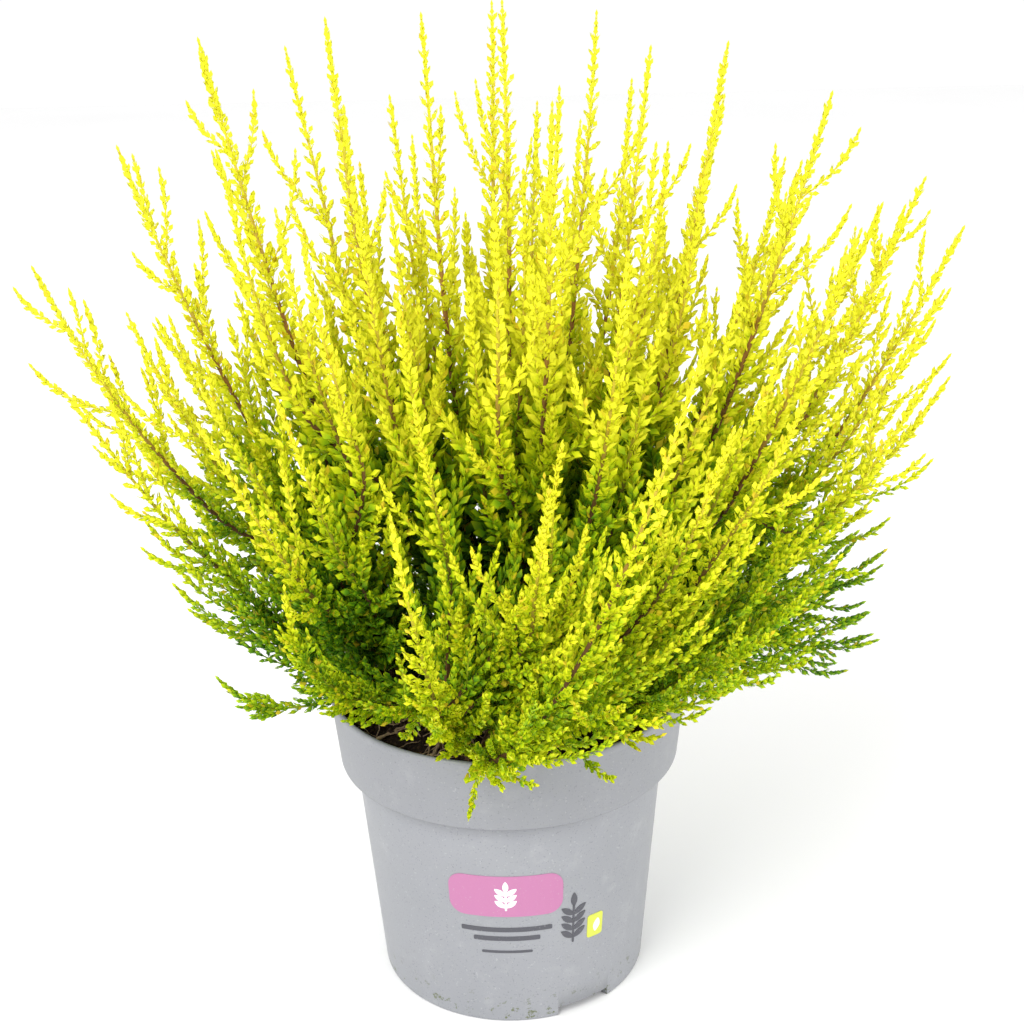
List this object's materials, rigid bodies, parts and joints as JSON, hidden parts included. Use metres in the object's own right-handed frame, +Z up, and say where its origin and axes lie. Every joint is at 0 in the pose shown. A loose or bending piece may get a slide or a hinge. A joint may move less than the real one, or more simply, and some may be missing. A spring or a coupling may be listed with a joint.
{
  "type": "potted heather",
  "caption": "Yellow-leaved bud heather: upright shoots of scale leaves on woody stems, growing from compost in a round tapered nursery pot.",
  "frame": {"origin": "centre of the pot's foot ring, on the surface that it stands on", "axes": "+Z up along the pot's axis; -Y towards the front of the plant; +X to the right as seen from the front"},
  "size_m": [0.291, 0.241, 0.323],
  "materials": {
    "pot_plastic": "cool grey recycled plastic with fine light and dark specks, satin",
    "compost": "dark brown peat and bark crumbs, matt",
    "bark": "thin orange-brown bark, matt",
    "dry_wood": "pale dry bark, matt",
    "leaves": "soft scale leaves, bright yellow at the tips to green inside, slightly waxy"
  },
  "bodies": {
    "root": {"pot": "pot_plastic", "compost": "compost", "dry_twig_01": "dry_wood", "dry_twig_02": "dry_wood", "dry_twig_03": "dry_wood", "crown": "bark", "stem_01": "bark", "foliage_01": "leaves", "stem_02": "bark", "foliage_02": "leaves", "stem_03": "bark", "foliage_03": "leaves", "stem_04": "bark", "foliage_04": "leaves", "stem_05": "bark", "foliage_05": "leaves", "stem_06": "bark", "foliage_06": "leaves", "stem_07": "bark", "foliage_07": "leaves", "stem_08": "bark", "foliage_08": "leaves", "stem_09": "bark", "foliage_09": "leaves", "stem_10": "bark", "foliage_10": "leaves", "stem_11": "bark", "foliage_11": "leaves", "stem_12": "bark", "foliage_12": "leaves", "stem_13": "bark", "foliage_13": "leaves", "stem_14": "bark", "foliage_14": "leaves", "stem_15": "bark", "foliage_15": "leaves", "stem_16": "bark", "foliage_16": "leaves", "stem_17": "bark", "foliage_17": "leaves", "stem_18": "bark", "foliage_18": "leaves", "stem_19": "bark", "foliage_19": "leaves", "stem_20": "bark", "foliage_20": "leaves", "stem_21": "bark", "foliage_21": "leaves", "stem_22": "bark", "foliage_22": "leaves", "stem_23": "bark", "foliage_23": "leaves", "stem_24": "bark", "foliage_24": "leaves"}
  },
  "joints": []
}
